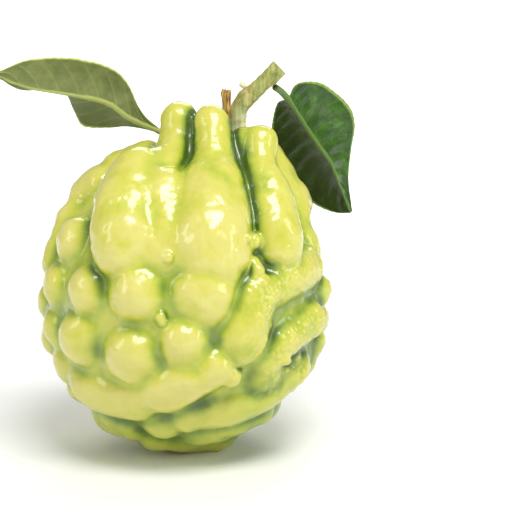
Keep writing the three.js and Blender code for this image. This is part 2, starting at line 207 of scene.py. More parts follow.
# %% Tables of knobs
CROWN = [
    [
        (-1, -0.5, 92.7, 5.1), (-1.4, -2.5, 87.4, 5.3), (-3, -7, 83.1, 5.8), (-6.1, -12, 79.5, 7.2),
        (-9.2, -16, 75, 8.4),
    ],
    [(7.8, -6, 92.8, 4.8), (8.3, -9, 86.2, 5.4), (8.4, -13, 80, 6.8), (7.8, -17, 75, 9.2)],
    [(7.8, -17, 75, 9.2), (7.6, -23, 69.7, 10.8), (7.4, -27, 64.6, 11.4), (7.8, -29, 61, 10.6)],
    [
        (21.5, -6.5, 88, 4.4), (21, -10, 82, 4.7), (22.9, -15, 75.2, 6.4), (24.7, -20, 66.2, 7.6),
        (25, -21.5, 61.6, 7.4),
    ],
    [(16.5, -5, 88, 3.2), (17, -8.5, 81, 3.2)],
    [(-12, -14, 80, 7.2), (-14.4, -21, 72.7, 9), (-14.7, -26.5, 65.4, 9.6), (-14.4, -27.5, 62.2, 9)],
    [(-5.5, -19, 75, 8), (-4, -25, 67, 8.6), (-4, -28, 60.5, 8)],
    [(-11, 7, 78.5, 7.2), (-17.5, 5, 77, 6.4)],
    [(-22, 1, 74, 6.4), (-25.5, 3, 70, 6.8)],
    [(-29.5, 0, 63.5, 6.4), (-31, 6, 60, 6)],
    [(20, 6, 78, 9), (27, 4, 68, 8.5)],
    [(2, 12, 81.5, 5), (0, 15, 77, 6.5)],
    [(23, 13, 78, 5.2), (22, 17, 71, 7)],
    [(3.2, 2.6, 86, 4), (4, -1, 80, 5)],
]
FRONT = [
    [(-64, 29, 7, 6.8)],
    [(-84, 26, 4.8, 6), (-82, 15, 4.8, 6)],
    [(-44, 10, 7, 6.6)],
    [(-68, 8, 6.4, 6.4)],
    [(-86, -3, 6, 6)],
    [(-19, 12, 8.8, 7.2)],
    [(10, 12, 9.8, 7.5)],
    [(-48, -11, 8.6, 7.1)],
    [(-70, -11, 6, 5.8)],
    [(-86, -20, 6.2, 6)],
    [(-68, -28, 6.8, 6.1)],
    [(-21, -16, 9.2, 7)],
    [(2, -9, 7.8, 6.8)],
    [(-53, -34, 7.6, 6.7), (-38, -37, 8, 6.9), (-24, -36, 8, 7)],
    [(-8, -31, 7.6, 7.2), (4, -24, 7, 7.5), (13, -19, 6, 7.4)],
    [(4, -45, 6.2, 6), (24, -42, 6.6, 6.4), (43, -38, 6, 6.2), (57, -31, 5.6, 6)],
    [(33, 12, 5, 6.6), (30, 3, 6.8, 7.3), (26, -8, 7.6, 7.5)],
    [(38, 10, 4.8, 6.2), (52, 14, 6, 6.8), (71, 15, 5.6, 6.5)],
    [(39, -18, 5, 6), (49, -11, 5.8, 6.6), (66, -7, 6, 6.5)],
    [(40, -27, 5.8, 5.8)],
    [(64, -27, 5.4, 5.7)],
    [(82, 22, 5, 5.6)],
    [(82, 2, 5, 5.8)],
    [(80, -20, 4.8, 5.6)],
    [(92, 40, 4.8, 5.4), (80, 28, 4.8, 5.4)],
    [(63, 38, 4.4, 4.8), (56, 26, 4.8, 5.2)],
    [(11, -60, 6.6, 5.2), (33, -57, 6, 5.4), (52, -50, 5.6, 5.4)],
    [(-14, -53, 6.6, 5.4)],
    [(-66, -56, 6.6, 6.6), (-42, -56, 6.2, 6)],
    [(-80, -42, 5.8, 5.8)],
    [(-30, -68, 6.6, 6)],
    [(-95, -60, 6.6, 6.6)],
]
BACK = [
    [(-106, 38, 5.6, 5.8)],
    [(-128, 42, 6.5, 6), (-150, 37, 6.2, 6)],
    [(-176, 42, 6.8, 6)],
    [(157, 37, 6, 6)],
    [(134, 44, 6.4, 6), (118, 38, 5.4, 5.8)],
    [(-106, 14, 6, 6)],
    [(-131, 18, 6.8, 6.2)],
    [(-154, 11, 6.4, 6), (-170, 14, 6.4, 6)],
    [(170, 14, 6.4, 6.2)],
    [(148, 12, 6.2, 6)],
    [(126, 16, 6.6, 6.2), (108, 12, 5.6, 5.8)],
    [(-104, -10, 5.6, 5.8)],
    [(-126, -8, 6.4, 6.2)],
    [(-148, -14, 6.8, 6.2)],
    [(-170, -9, 6.4, 6)],
    [(166, -12, 6.8, 6.2)],
    [(142, -11, 6.2, 6)],
    [(119, -9, 6.4, 6)],
    [(97, -14, 5.8, 5.8)],
    [(-98, -34, 5.6, 5.4)],
    [(-120, -32, 6.2, 5.8)],
    [(-144, -38, 6.4, 5.8), (-164, -33, 6, 5.8)],
    [(170, -36, 6.6, 5.8)],
    [(146, -34, 6.2, 5.8)],
    [(121, -31, 6, 5.6)],
    [(96, -36, 5.6, 5.4), (80, -30, 5, 5.2)],
    [(-104, -60, 6, 5)],
    [(-145, -61, 6.2, 5.2)],
    [(178, -58, 6.4, 5.2)],
    [(138, -60, 6, 5.2)],
    [(98, -58, 6, 5), (76, -54, 5, 5)],
    [(-122, 62, 6.6, 5)],
    [(-166, 60, 7, 5)],
    [(152, 62, 7, 5)],
    [(116, 60, 6.5, 5)],
]
FEET = [
    [(0, -90, 18, 7.2)],
    [(-8, -74, 7.5, 5.2)],
    [(58, -75, 7.5, 6.2)],
    [(128, -76, 8, 6.4)],
    [(-162, -75, 7.5, 6.2)],
    [(-88, -76, 8, 6.4)],
]
WARTS = [ # these stand on the rind, so their rise is small
    [(35, 31, 2.1, 2.4)],
    [(29, 31, 1.2, 1.4)],
    [(33, 22, 2.3, 2.2), (33, 19, 2.1, 2)],
    [(-8, 3, 1.6, 1.7), (-7, 1, 1.5, 1.5)],
    [(-5, 26, 1.3, 1)],
    [(21, -22, 2.9, 2.8)],
    [(44, -17, 1.5, 1.3)],
    [(57, -20, 1.6, 1.4)],
    [(60, -26, 1.6, 1.4)],
    [(50, -24, 1.3, 1.2)],
    [(68, -33, 1.5, 1.3)],
]

# %% From the tables to chains of balls
def direction(longitude, latitude):
    lon, lat = math.radians(longitude), math.radians(latitude)
    return np.array([math.sin(lon) * math.cos(lat), -math.cos(lon) * math.cos(lat), math.sin(lat)])


def reach(origin, ways, distance, far=75.0, steps=90):
    """How far along each ray the distance function reaches zero, coming from outside."""
    along = np.full(len(ways), far)
    for _ in range(steps):
        d = distance(origin + ways * along[:, None])
        along -= np.where(d > 0.002, d * 0.85, 0)
    return along


def flank_nodes(chain, distance=body_distance):
    """Chain nodes whose crests stand over the surface that the distance function gives."""
    ways = np.array([direction(lon, lat) for lon, lat, _, _ in chain])
    crest = reach(HEART, ways, distance)
    return [
        np.append(HEART + way * (top + rise - radius), radius)
        for way, top, (_, _, radius, rise) in zip(ways, crest, chain)
    ]


def smoothed(nodes, per_span=3):
    """Adds nodes on a smooth curve between the given ones."""
    nodes = [np.array(n, float) for n in nodes]
    if len(nodes) < 2:
        return [nodes[0], nodes[0] + 1e-6]
    ends = [2 * nodes[0] - nodes[1]] + nodes + [2 * nodes[-1] - nodes[-2]]
    out = []
    for i in range(1, len(ends) - 2):
        for step in range(per_span):
            t = step / per_span
            a, b, c, d = ends[i - 1:i + 3]
            out.append(
                0.5 * (
                    2 * b + (c - a) * t + (
                        2 * a - 5 * b + 4 * c - d
                    ) * t ** 2 + (3 * b - a - 3 * c + d) * t ** 3
                )
            )
    return out + [nodes[-1]]


lobes = [smoothed(chain) for chain in CROWN] + [
    smoothed(flank_nodes(chain)) for chain in FRONT + BACK + FEET
]
print(len(lobes), "lobes")

# %% The whole rind as one distance
CULL = 11.0 # a lobe further away than this counts as a ball
SEAT_CENTRE = (14.8, 3.0)
SEAT_RADIUS = 4.6
SEAT_HEIGHT = 86.2


def chain_distance(p, nodes):
    return np.minimum.reduce([cone_distance(p, a, b) for a, b in zip(nodes, nodes[1:])])


def soft_union(p, first, chains, blend):
    """first softly joined with the chains: minus blend times the log of a sum of exponentials."""
    total = np.exp(-first / blend)
    for nodes in chains:
        middle = np.mean(nodes, axis=0)[:3]
        size = max(np.linalg.norm(n[:3] - middle) + n[3] for n in nodes)
        distance = np.linalg.norm(p - middle, axis=-1) - size
        near = distance < CULL
        if near.any():
            distance[near] = chain_distance(p[near], nodes)
        total += np.exp(-distance / blend)
    return -blend * np.log(total)


def flesh_distance(p):
    return soft_union(p, body_distance(p) - VALLEY_FILL, lobes, KNOB_BLEND)


warts = [smoothed(flank_nodes(chain, flesh_distance)) for chain in WARTS]
print(len(warts), "warts")


def rind_distance(p, with_warts=True):
    skin = flesh_distance(p)
    if with_warts:
        skin = soft_union(p, skin, warts, WART_BLEND)
    off_axis = np.hypot(p[:, 0] - SEAT_CENTRE[0], p[:, 1] - SEAT_CENTRE[1])
    seat = np.maximum(off_axis - SEAT_RADIUS, SEAT_HEIGHT - p[:, 2])
    return np.maximum(np.maximum(skin, -seat), -p[:, 2])


def rind_slope(p, here, step=0.05):
    return np.stack([(rind_distance(p + np.eye(3)[k] * step) - here) / step for k in range(3)], axis=1)


# %% [markdown]
# ## Laying a mesh on the rind
# A ball of even triangles is pushed onto the rind along rays, and its corners then slide along the surface
# towards the larger triangles, so that the crown's fingers get as many as the flanks. Two rounds of
# splitting give the fine mesh. A remesh modifier would be simpler, but it blurs the creases.

# %% Even triangles on the rind
MESH_HEART = np.array([4.0, -2.0, 58.0])
BALL_CUTS = 24
RELAX_ROUNDS = 12
REACH_LIMIT = 1.5


def settle(p, rounds=1):
    """Moves points onto the rind by Newton steps."""
    for _ in range(rounds):
        here = rind_distance(p)
        slope = rind_slope(p, here)
        step = -here / np.maximum((slope ** 2).sum(1), 0.25)
        p = p + slope * np.clip(step, -REACH_LIMIT, REACH_LIMIT)[:, None]
    return p


def pull_to_large(p, faces):
    """Each corner moves to the mean of the middles of its triangles, weighted by their areas."""
    a, b, c = p[faces[:, 0]], p[faces[:, 1]], p[faces[:, 2]]
    area = np.linalg.norm(np.cross(b - a, c - a), axis=1)
    middle = (a + b + c) / 3 * area[:, None]
    total, weight = np.zeros_like(p), np.zeros(len(p))
    for k in range(3):
        np.add.at(total, faces[:, k], middle)
        np.add.at(weight, faces[:, k], area)
    return total / weight[:, None]


def split(p, faces):
    """Each triangle becomes four."""
    edges = np.sort(np.concatenate([faces[:, [0, 1]], faces[:, [1, 2]], faces[:, [2, 0]]]), axis=1)
    pairs, which = np.unique(edges, axis=0, return_inverse=True)
    ab, bc, ca = len(p) + which.reshape(3, -1)
    a, b, c = faces.T
    quarters = ((a, ab, ca), (ab, b, bc), (ca, bc, c), (ab, bc, ca))
    return np.concatenate([p, p[pairs].mean(axis=1)]), np.concatenate(
        [np.stack(q, axis=1) for q in quarters]
    )


def geodesic_ball(cuts):
    """A ball of 20 * cuts * cuts triangles, as (directions, faces)."""
    seed = bmesh.new()
    bmesh.ops.create_icosphere(seed, subdivisions=1, radius=1.0)
    corners = np.array([v.co for v in seed.verts])
    sides = [[v.index for v in f.verts] for f in seed.faces]
    seed.free()
    spots, tris = [], []
    for side in sides:
        a, b, c = corners[side]
        start = len(spots)
        row_start = [start + i * (cuts + 1) - i * (i - 1) // 2 for i in range(cuts + 2)]
        for i in range(cuts + 1):
            for j in range(cuts + 1 - i):
                spots.append(a + (b - a) * i / cuts + (c - a) * j / cuts)
        for i in range(cuts):
            for j in range(cuts - i):
                here, above = row_start[i] + j, row_start[i + 1] + j
                tris.append((here, above, here + 1))
                if j < cuts - i - 1:
                    tris.append((here + 1, above, above + 1))
    spots = np.array(spots)
    spots /= np.linalg.norm(spots, axis=1)[:, None]
    _, first, same = np.unique(spots.round(6), axis=0, return_index=True, return_inverse=True)
    return spots[first], same.reshape(-1)[np.array(tris)]


ways, faces = geodesic_ball(BALL_CUTS)
points = MESH_HEART + ways * reach(MESH_HEART, ways, rind_distance)[:, None]
for _ in range(RELAX_ROUNDS):
    points = settle(pull_to_large(points, faces))
for _ in range(2):
    points, faces = split(points, faces)
    points = settle(points, 2)
points = settle(pull_to_large(points, faces))
print("fine rind", len(points), "corners, highest", points[:, 2].max().round(1), "mm")

# %% [markdown]
# ## Rough patches and what the paint needs to know
# On the right side the rind is pebbly: its ridges carry grains 2 mm wide. They are real relief, so the
# corners move along their normals. Then each corner learns two numbers for the paint: how closely the rind
# encloses it, which makes the creases greener and, as painted shade, darker; and how much greener and darker
# the paint gets towards the bottom, on the crown, to the right and on the ridge at the right front.

# %% Relief and paint values on the rind
GRAIN = 1.9 # mm between pebbles
GRAIN_HEIGHT = 0.36


def smooth_step(x, low, high):
    t = np.clip((x - low) / (high - low), 0, 1)
    return t * t * (3 - 2 * t)


def normals_of(p, faces):
    a, b, c = p[faces[:, 0]], p[faces[:, 1]], p[faces[:, 2]]
    flat = np.cross(b - a, c - a)
    total = np.zeros_like(p)
    for k in range(3):
        np.add.at(total, faces[:, k], flat)
    return total / np.maximum(np.linalg.norm(total, axis=1), 1e-12)[:, None]


def noise_at(p, scale, seed):
    """Smooth noise from -1 to 1 with features of the given size in millimetres."""
    shift = Vector((seed * 17.3, seed * 9.1, seed * 5.7))
    return np.array([noise.noise(Vector(q) / scale + shift) for q in p])


def pebbles_at(p, scale):
    """1 on the tops of pebbles, 0 between them."""
    gaps = np.array([noise.voronoi(Vector(q) / scale)[0][:2] for q in p])
    return smooth_step(gaps[:, 1] - gaps[:, 0], 0.0, 0.55)


normals = normals_of(points, faces)
crest = smooth_step(body_distance(points), 3.0, 6.4)
points = points + normals * (0.55 * noise_at(points, 7.5, 6))[:, None]
right_side = smooth_step(points[:, 0], 10, 24) * smooth_step(-points[:, 1], -22, -4)
belt = smooth_step(points[:, 2], 14, 24) * (1 - smooth_step(points[:, 2], 54, 64))
rough = right_side * belt * crest
points = points + normals * (rough * GRAIN_HEIGHT * (pebbles_at(points, GRAIN) - 0.5))[:, None]
points = points + normals * (0.26 * noise_at(points, 3.6, 1) + 0.1 * noise_at(points, 1.6, 2))[:, None]
points[:, 2] = np.where(points[:, 2] < 0.12, 0.0, points[:, 2])

# how closely the rind encloses each corner, plus the low places between knobs: the paint makes these creases
# greener and, as painted shade, darker
near_air = np.clip(1 - rind_distance(points + normals * 1.6, False) / 1.6, 0, 1)
far_air = np.clip(1 - rind_distance(points + normals * 5.0, False) / 5.0, 0, 1)
crease_green_and_shade = np.clip(0.75 * near_air + 0.85 * far_air + 0.25 * (1 - crest), 0, 1)
# greener and darker paint towards the bottom, on the crown, to the right and on the ridge at the right front, with
# a broad random mottle
green = (
    0.35 * smooth_step(points[:, 0], 5, 38)
    + 0.5 * smooth_step(points[:, 2], 70, 92)
    + 0.6 * (1 - smooth_step(points[:, 2], 4, 34))
    + 0.3 * smooth_step(points[:, 0], 8, 18) * (
        1 - smooth_step(points[:, 0], 24, 30)
    ) * (1 - smooth_step(points[:, 2], 48, 60))
    + 0.15 * noise_at(points, 14.0, 3)
)


def mesh_object(name, p, faces, attributes=None, smooth=True):
    """A mesh object from points in millimetres, with float attributes on its corners."""
    mesh = bpy.data.meshes.new(name)
    mesh.from_pydata(
        (np.asarray(p) * MM).tolist(), [],
        np.asarray(faces).tolist() if len(set(map(len, faces))) == 1 else faces,
    )
    for key, values in (attributes or {}).items():
        mesh.attributes.new(key, "FLOAT", "POINT").data.foreach_set("value", np.asarray(values, np.float32))
    if smooth:
        mesh.shade_smooth()
    made = bpy.data.objects.new(name, mesh)
    bpy.context.collection.objects.link(made)
    return made


rind = mesh_object("rind", points, faces, {"crease_green_and_shade": crease_green_and_shade, "green": np.clip(green, 0, 1), "rough": rough})
print("rind", len(rind.data.polygons), "faces, size", [round(v * 1000, 1) for v in rind.dimensions])

# %% [markdown]
# ## Waxy citrus rind
# Rind is a thin waxy skin over white pith, dotted with oil glands about 1 mm apart that show as tiny pits.
# The wax gives sharp highlights, so a clear coat lies over a slightly rougher skin, and light goes a little
# way into the pith. The colour follows growth: the crests that see the sun ripen first, the creases stay
# green. The creases are also painted darker than the crests, as painted shade.

# %% Rind material
GLAND_SPACING = 1.15 * MM
wax_rind, tree, shader = new_material("waxed_citrus_rind")
place = node(tree, "ShaderNodeTexCoord").outputs["Object"]
depth = node(tree, "ShaderNodeAttribute", attribute_name="crease_green_and_shade").outputs["Fac"]
greenness = node(tree, "ShaderNodeAttribute", attribute_name="green").outputs["Fac"]
blotch = node(
    tree, "ShaderNodeTexNoise", {"Vector": place, "Scale": 0.11 / MM, "Detail": 4.0},
).outputs["Fac"]
mottle = node(
    tree, "ShaderNodeTexNoise", {"Vector": place, "Scale": 0.6 / MM, "Detail": 3.0},
).outputs["Fac"]
# the creases get a greener colour and a darker one; the darkening is painted shade
shade = node(tree, "ShaderNodeMath", {0: blotch, 1: -0.5}, operation="ADD").outputs[0]
shade = node(tree, "ShaderNodeMath", {0: shade, 1: 0.35, 2: depth}, operation="MULTIPLY_ADD").outputs[0]
shade = node(tree, "ShaderNodeMath", {0: greenness, 1: 0.42, 2: shade}, operation="MULTIPLY_ADD").outputs[0]
fine = node(tree, "ShaderNodeMath", {0: mottle, 1: -0.5}, operation="ADD").outputs[0]
shade = node(
    tree, "ShaderNodeMath", {0: fine, 1: 0.12, 2: shade}, operation="MULTIPLY_ADD", use_clamp=True,
).outputs[0]
# ramp from pale yellow crests to dark green creases: the rind's own tones plus painted shade in the creases
rind_tone_and_crease_shade = node(tree, "ShaderNodeValToRGB", {"Fac": shade}, stops=[
    (0.0, "#d2cb6c"), (0.2, "#c9c650"), (0.4, "#b9bf3e"), (
        0.62, "#98aa2c",
    ), (0.84, "#6c861a"), (1.0, "#466010"),
]).outputs["Color"]
tree.links.new(rind_tone_and_crease_shade, shader.inputs["Base Color"])
glands = node(
    tree, "ShaderNodeTexVoronoi", {"Vector": place, "Scale": 1 / GLAND_SPACING}, feature="F1",
).outputs["Distance"]
pit = node(
    tree, "ShaderNodeMapRange", {"Value": glands, "From Min": 0.0, "From Max": 0.42},
).outputs["Result"]
swell = node(
    tree, "ShaderNodeTexNoise", {"Vector": place, "Scale": 0.45 / MM, "Detail": 2.0},
).outputs["Fac"]
relief = node(
    tree, "ShaderNodeBump", {"Height": swell, "Strength": 0.35, "Distance": 0.25 * MM},
).outputs["Normal"]
relief = node(
    tree, "ShaderNodeBump", {"Height": pit, "Strength": 0.3, "Distance": 0.1 * MM, "Normal": relief},
).outputs["Normal"]
tree.links.new(relief, shader.inputs["Normal"])
shader.inputs["Roughness"].default_value = 0.34
shader.inputs["Coat Weight"].default_value = 0.65
shader.inputs["Coat Roughness"].default_value = 0.07
shader.inputs["Subsurface Weight"].default_value = 0.08
shader.inputs["Subsurface Radius"].default_value = (1.0, 0.75, 0.2)
shader.inputs["Subsurface Scale"].default_value = 2.5 * MM
rind.data.materials.append(wax_rind)
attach(rind, "root")
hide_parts("fruit")

# %% [markdown]
# ## The stalk
# The fruit hangs on a green shoot of the year, 5 mm thick. It bends where the cutting was made, is a little
# swollen where the leaf stalks and the bud sit, and shows long pale ridges. A tube whose radius varies with
# place and angle gives all of this in one piece, with a flat cut end.

# %% Curves and tubes
def curve(points, samples):
    """Even samples on a smooth curve through points, as (places, tangents)."""
    p = np.array(points, float)
    ends = np.concatenate([[2 * p[0] - p[1]], p, [2 * p[-1] - p[-2]]])
    t = np.linspace(0, 1, 24, endpoint=False)[:, None]
    spans = [
        0.5 * (
            2 * b + (c - a) * t + (2 * a - 5 * b + 4 * c - d) * t ** 2 + (3 * b - a - 3 * c + d) * t ** 3
        )
        for a, b, c, d in zip(ends, ends[1:], ends[2:], ends[3:])
    ]
    dense = np.concatenate(spans + [p[-1:]])
    far = np.concatenate([[0], np.cumsum(np.linalg.norm(np.diff(dense, axis=0), axis=1))])
    wanted = np.linspace(0, far[-1], samples)
    places = np.stack([np.interp(wanted, far, dense[:, k]) for k in range(3)], axis=1)
    tangents = np.gradient(places, axis=0)
    return places, tangents / np.linalg.norm(tangents, axis=1)[:, None]


def tube(points, radius_at, rows, sides, side_hint=(0, 1, 0), end_rows=3):
    """A closed bar along a curve. radius_at(share, angle) gives its radius. Returns points, faces, shares, rims."""
    places, tangents = curve(points, rows)
    side = np.cross(np.broadcast_to(side_hint, tangents.shape), tangents)
    side /= np.linalg.norm(side, axis=1)[:, None]
    front = np.cross(side, tangents)
    angle = np.linspace(0, 2 * np.pi, sides, endpoint=False)
    share = np.linspace(0, 1, rows)
    radius = radius_at(share[:, None], angle[None, :])
    ring = side[:, None] * np.cos(angle)[None, :, None] + front[:, None] * np.sin(angle)[None, :, None]
    rows_p = places[:, None] + ring * radius[..., None]
    caps = [places[0] + (rows_p[0] - places[0]) * k / end_rows for k in range(1, end_rows)]
    tails = [places[-1] + (rows_p[-1] - places[-1]) * k / end_rows for k in range(end_rows - 1, 0, -1)]
    grid = np.concatenate([np.array(caps), rows_p, np.array(tails)])
    count = len(grid)
    p = np.concatenate([grid.reshape(-1, 3), places[:1], places[-1:]])
    at = lambda i, j: i * sides + j % sides
    faces = [
        (
            at(i, j), at(i, j + 1), at(i + 1, j + 1), at(i + 1, j),
        ) for i in range(count - 1) for j in range(sides)
    ]
    faces += [(count * sides, at(0, j + 1), at(0, j)) for j in range(sides)]
    faces += [(count * sides + 1, at(count - 1, j), at(count - 1, j + 1)) for j in range(sides)]
    places_along = np.concatenate([[0.0] * (end_rows - 1), share, [1.0] * (end_rows - 1)])
    shares = np.concatenate([np.repeat(places_along, sides), [0.0, 1.0]])
    out = np.concatenate([
        np.full(sides, k / end_rows) for k in range(1, end_rows)
    ] + [np.ones(rows * sides)]
                         + [
                             np.full(sides, k / end_rows) for k in range(end_rows - 1, 0, -1)
                         ] + [np.zeros(2)])
    return p, faces, shares, out


def face_outwards(made):
    work = bmesh.new()
    work.from_mesh(made.data)
    bmesh.ops.recalc_face_normals(work, faces=work.faces)
    work.to_mesh(made.data)
    work.free()


# %% Stalk mesh
STALK_PATH = [(14.8, 3, 88.3), (14.7, 2.8, 92.2), (15.8, 2.8, 96.4), (21, 3.2, 101.6), (26.4, 4, 106.6)]
STALK_RADIUS = [
    (0, 2.75), (0.08, 2.55), (0.3, 2.38), (0.42, 2.45), (0.55, 2.3), (0.7, 2.1), (0.86, 2.2),
    (0.95, 2.45), (1, 2.35),
]
SWELLINGS = [(0.47, 3.3, 0.35), (0.84, 0.2, 0.4), (0.22, 1.9, 0.25)] # share, angle, height in mm


def stalk_radius(share, angle):
    radius = np.interp(share, *zip(*STALK_RADIUS)) + 0 * angle
    radius = radius + 0.07 * np.sin(7 * angle + 3 * share) + 0.05 * np.sin(13 * angle - 8 * share)
    radius = radius + 0.04 * np.sin(60 * share + 2 * angle)
    for place_along, place_round, height in SWELLINGS:
        turn = np.angle(np.exp(1j * (angle - place_round)))
        radius = radius + height * np.exp(-((share - place_along) / 0.07) ** 2 - (turn / 0.8) ** 2)
    return radius


bark_points, bark_faces, bark_share, bark_rim = tube(STALK_PATH, stalk_radius, 120, 72)
stalk = mesh_object("stalk_bark", bark_points, bark_faces, {"along": bark_share, "out": bark_rim})
face_outwards(stalk)

# %% [markdown]
# ## Bark of a green shoot
# Young bark is smooth and satin, and its fibres show as long streaks: pale where the skin is corky, greener
# and in places pinkish between. Noise that is stretched along the shoot draws them.

# %% Bark material
green_bark, tree, shader = new_material("young_green_bark")
place = node(tree, "ShaderNodeTexCoord").outputs["Object"]
turned = node(
    tree, "ShaderNodeMapping",
    {"Vector": place, "Rotation": (0, math.radians(-38), 0), "Scale": (1, 1, 0.16)},
)
streak = node(
    tree, "ShaderNodeTexNoise", {"Vector": turned.outputs[0], "Scale": 1.1 / MM, "Detail": 5.0},
).outputs["Fac"]
patch = node(
    tree, "ShaderNodeTexNoise", {"Vector": place, "Scale": 0.28 / MM, "Detail": 3.0},
).outputs["Fac"]
bark = node(tree, "ShaderNodeValToRGB", {"Fac": streak}, stops=[
    (0.3, "#5f6b2c"), (0.43, "#858a3e"), (0.56, "#a9aa5c"), (0.7, "#cdc78c"),
]).outputs["Color"]
blush = node(
    tree, "ShaderNodeValToRGB", {"Fac": patch},
    stops=[(0.4, "#7f8c40"), (0.52, "#a3a35a"), (0.68, "#b98f66")],
).outputs["Color"]
young = node(tree, "ShaderNodeMix", {0: 0.4, 6: bark, 7: blush}, data_type="RGBA").outputs[2]
along = node(tree, "ShaderNodeAttribute", attribute_name="along").outputs["Fac"]
paleness = node(
    tree, "ShaderNodeMapRange",
    {"Value": along, "From Min": 0.05, "From Max": 0.4, "To Min": 0.75, "To Max": 0.0},
).outputs[0]
pale = node(tree, "ShaderNodeMix", {0: paleness, 6: young, 7: "#e9edc0"}, data_type="RGBA").outputs[2]
tree.links.new(pale, shader.inputs["Base Color"])
relief = node(
    tree, "ShaderNodeBump", {"Height": streak, "Strength": 0.5, "Distance": 0.15 * MM},
).outputs["Normal"]
tree.links.new(relief, shader.inputs["Normal"])
shader.inputs["Roughness"].default_value = 0.42
shader.inputs["Subsurface Weight"].default_value = 0.1
shader.inputs["Subsurface Scale"].default_value = 1.0 * MM
stalk.data.materials.append(green_bark)
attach(stalk, "root")
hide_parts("stalk")

# %% [markdown]
# ## Lenticels
# Bark breathes through lenticels, raised specks a fraction of a millimetre long. There are dozens and they
# all look alike, so Geometry Nodes scatter them on the stalk and join them into one mesh.

# %% Lenticels by Geometry Nodes
lenticel_cork, tree, shader = new_material("cork_lenticel")
place = node(tree, "ShaderNodeTexCoord").outputs["Object"]
speck = node(tree, "ShaderNodeTexNoise", {"Vector": place, "Scale": 2.0 / MM}).outputs["Fac"]
tint = node(
    tree, "ShaderNodeValToRGB", {"Fac": speck}, stops=[(0.35, "#a9a568"), (0.65, "#cfc794")],
).outputs["Color"]
tree.links.new(tint, shader.inputs["Base Color"])
shader.inputs["Roughness"].default_value = 0.7

group = bpy.data.node_groups.new("scatter_lenticels", "GeometryNodeTree")
for name, kind in (
    ("Surface", "NodeSocketGeometry"), ("Per square metre", "NodeSocketFloat"),
    ("Length", "NodeSocketFloat"),
):
    group.interface.new_socket(name, in_out="INPUT", socket_type=kind)
group.interface.new_socket("Specks", in_out="OUTPUT", socket_type="NodeSocketGeometry")
entry = node(group, "NodeGroupInput").outputs
spread = node(
    group, "GeometryNodeDistributePointsOnFaces",
    {"Mesh": entry["Surface"], "Density": entry["Per square metre"], "Seed": 7},
)
grain = node(group, "GeometryNodeMeshIcoSphere", {"Radius": 0.5, "Subdivisions": 2})
flattened = node(
    group, "GeometryNodeTransform", {"Geometry": grain.outputs["Mesh"], "Scale": (0.55, 1.0, 0.35)},
)
size = node(group, "FunctionNodeRandomValue", {2: 0.5, 3: 1.2, "Seed": 3})
length = node(group, "ShaderNodeMath", {0: size.outputs[1], 1: entry["Length"]}, operation="MULTIPLY")
placed = node(group, "GeometryNodeInstanceOnPoints", {
    "Points": spread.outputs["Points"], "Instance": flattened.outputs["Geometry"],
    "Rotation": spread.outputs["Rotation"], "Scale": length.outputs[0],
})
joined = node(group, "GeometryNodeRealizeInstances", {"Geometry": placed.outputs["Instances"]})
painted = node(
    group, "GeometryNodeSetMaterial", {"Geometry": joined.outputs["Geometry"], "Material": lenticel_cork},
)
node(group, "NodeGroupOutput", {"Specks": painted.outputs["Geometry"]})


def grown_by(group, name, source, values):
    """Runs a tree on a copy of source and returns the result as a plain mesh object."""
    carrier = bpy.data.objects.new(name + "_carrier", source.data.copy())
    bpy.context.collection.objects.link(carrier)
    modifier = carrier.modifiers.new(name, "NODES")
    modifier.node_group = group
    sockets = {item.name: item.identifier for item in group.interface.items_tree if item.in_out == "INPUT"}
    for key, value in values.items():
        modifier[sockets[key]] = value
    bpy.context.view_layer.update()
    mesh = bpy.data.meshes.new_from_object(carrier.evaluated_get(bpy.context.evaluated_depsgraph_get()))
    bpy.data.objects.remove(carrier)
    made = bpy.data.objects.new(name, mesh)
    bpy.context.collection.objects.link(made)
    return made


lenticels = grown_by(group, "stalk_lenticels", stalk, {"Per square metre": 1.6e5, "Length": 0.4 * MM})
lenticels.data.shade_smooth()
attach(lenticels, "root")
print("lenticels", len(lenticels.data.polygons), "faces")

# %% [markdown]
# ## Dried stub, bud and calyx
# Beside the stalk stands a side shoot that dried off: a bundle of brown fibres with a ragged top. The bud
# is a few green scales. The calyx is the star of five sepals under the stalk; most of it is hidden in the
# crown.

# %% Dried stub
STUB_PATH = [(11.6, 0.2, 93.2), (11.8, 0, 96.4), (11.6, -0.2, 100.4)]


def stub_radius(share, angle):
    radius = np.interp(share, [0, 0.2, 0.6, 1], [1.05, 1.25, 1.3, 1.5]) + 0 * angle
    fibres = np.abs(np.sin(4.5 * angle + 1.5 * share)) * 0.3 + 0.12 * np.sin(15 * angle + 5 * share)
    return radius - fibres * (0.4 + 0.6 * share)


p, f, along_stub, out_stub = tube(STUB_PATH, stub_radius, 60, 64)
angles = np.arctan2(p[:, 1], p[:, 0] - 11.7)
ragged = smooth_step(along_stub, 0.7, 1.0) * (
    0.6 * np.sin(5 * angles) + 0.45 * np.sin(11 * angles + 1) - 0.5 * (1 - out_stub)
)
p[:, 2] += ragged
stub = mesh_object("stub_fibres", p, f, {"along": along_stub})
face_outwards(stub)
dry_bark, tree, shader = new_material("dried_fibrous_wood")
place = node(tree, "ShaderNodeTexCoord").outputs["Object"]
stretched = node(tree, "ShaderNodeMapping", {"Vector": place, "Scale": (1, 1, 0.12)}).outputs[0]
fibre = node(
    tree, "ShaderNodeTexNoise", {"Vector": stretched, "Scale": 2.4 / MM, "Detail": 4.0},
).outputs["Fac"]
brown = node(tree, "ShaderNodeValToRGB", {"Fac": fibre}, stops=[
    (0.32, "#5a3a12"), (0.46, "#98702c"), (0.58, "#c9a95c"), (0.72, "#e2d090"),
]).outputs["Color"]
tree.links.new(brown, shader.inputs["Base Color"])
